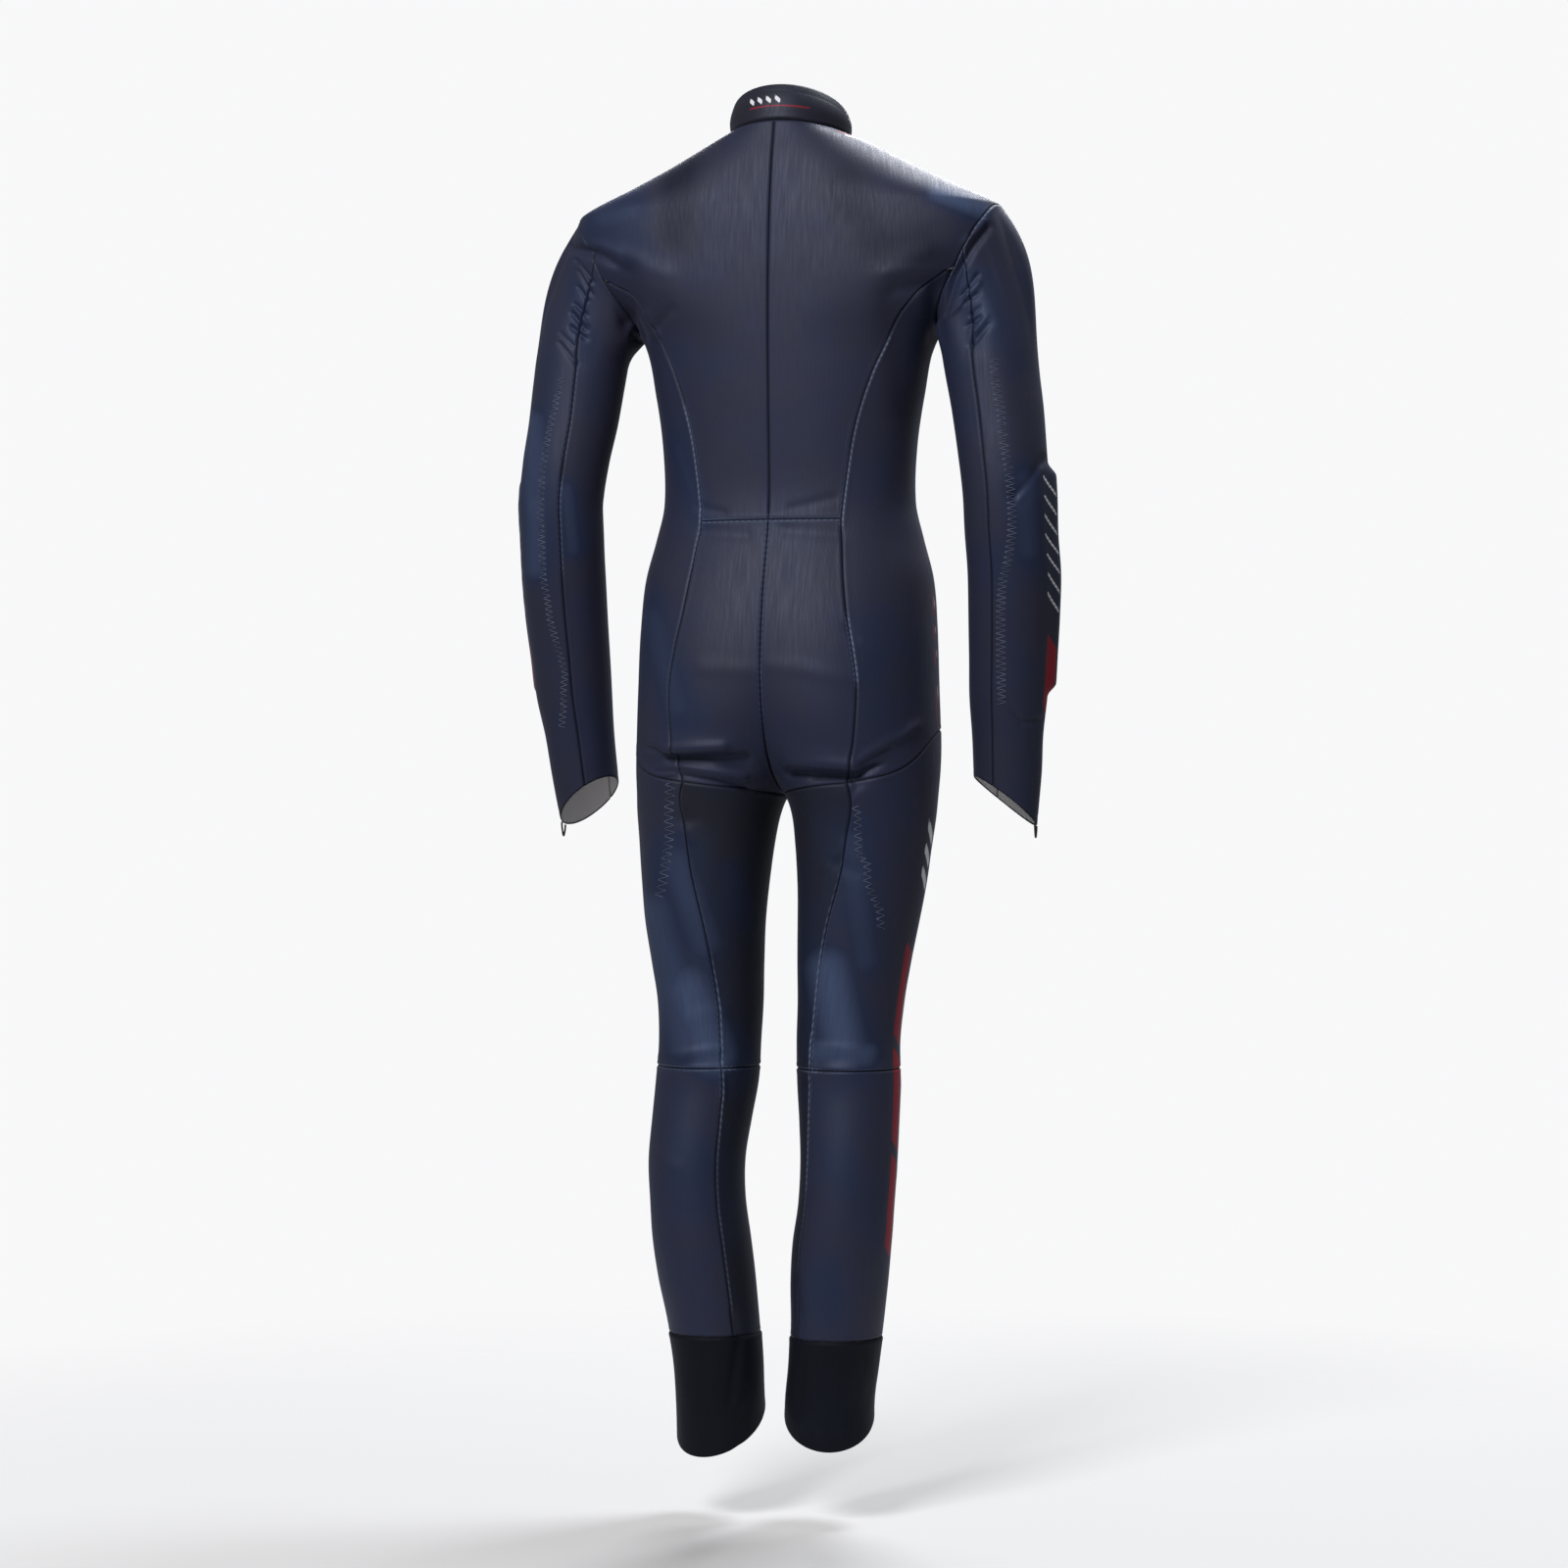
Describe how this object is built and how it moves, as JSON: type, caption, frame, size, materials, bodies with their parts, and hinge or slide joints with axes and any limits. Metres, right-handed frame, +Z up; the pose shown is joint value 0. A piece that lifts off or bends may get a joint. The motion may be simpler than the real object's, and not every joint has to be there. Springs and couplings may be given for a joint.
{
  "type": "ski race suit",
  "caption": "Close-fitting one-piece ski race suit with a low stand collar, front zip, long sleeves with finger loops and long legs, filled out and hollow.",
  "frame": {"origin": "middle of the neck opening, level with the neck seam at the centre of the back, where the wearer's shoulders hold the suit", "axes": "+Z up along the body, +Y towards the front with the zip, +X towards the right sleeve"},
  "size_m": [0.5902, 0.2345, 1.4379],
  "materials": {
    "navy_cloth": "satin",
    "dark_cloth": "satin",
    "collar_cloth": "satin",
    "zip_tape": "matte",
    "elastic": "matte",
    "slider_metal": "satin",
    "pull_plastic": "satin"
  },
  "bodies": {
    "suit": {"collar": "collar_cloth", "back_right": "navy_cloth", "seat_right": "navy_cloth", "side_right": "navy_cloth", "front_right": "navy_cloth", "sleeve_outer_right": "navy_cloth", "sleeve_under_right": "navy_cloth", "thigh_back_right": "navy_cloth", "thigh_front_right": "navy_cloth", "thigh_inner_right": "dark_cloth", "calf_back_right": "navy_cloth", "calf_front_right": "navy_cloth", "calf_inner_right": "dark_cloth", "ankle_cuff_right": "dark_cloth", "finger_loop_right": "elastic", "back_left": "navy_cloth", "seat_left": "navy_cloth", "side_left": "navy_cloth", "front_left": "navy_cloth", "sleeve_outer_left": "navy_cloth", "sleeve_under_left": "navy_cloth", "thigh_back_left": "navy_cloth", "thigh_front_left": "navy_cloth", "thigh_inner_left": "dark_cloth", "calf_back_left": "navy_cloth", "calf_front_left": "navy_cloth", "calf_inner_left": "dark_cloth", "ankle_cuff_left": "dark_cloth", "finger_loop_left": "elastic", "zip_tape": "zip_tape", "zip_slider": "slider_metal"},
    "pull_tab": {"zip_pull_tab": "pull_plastic"}
  },
  "joints": [
    {"name": "pull_tab_swing", "type": "hinge", "parent": "suit", "child": "pull_tab", "pos_m": [0, 0.07385, -0.02189], "axis": [1, 0, 0], "range_deg": [0, 170]}
  ]
}
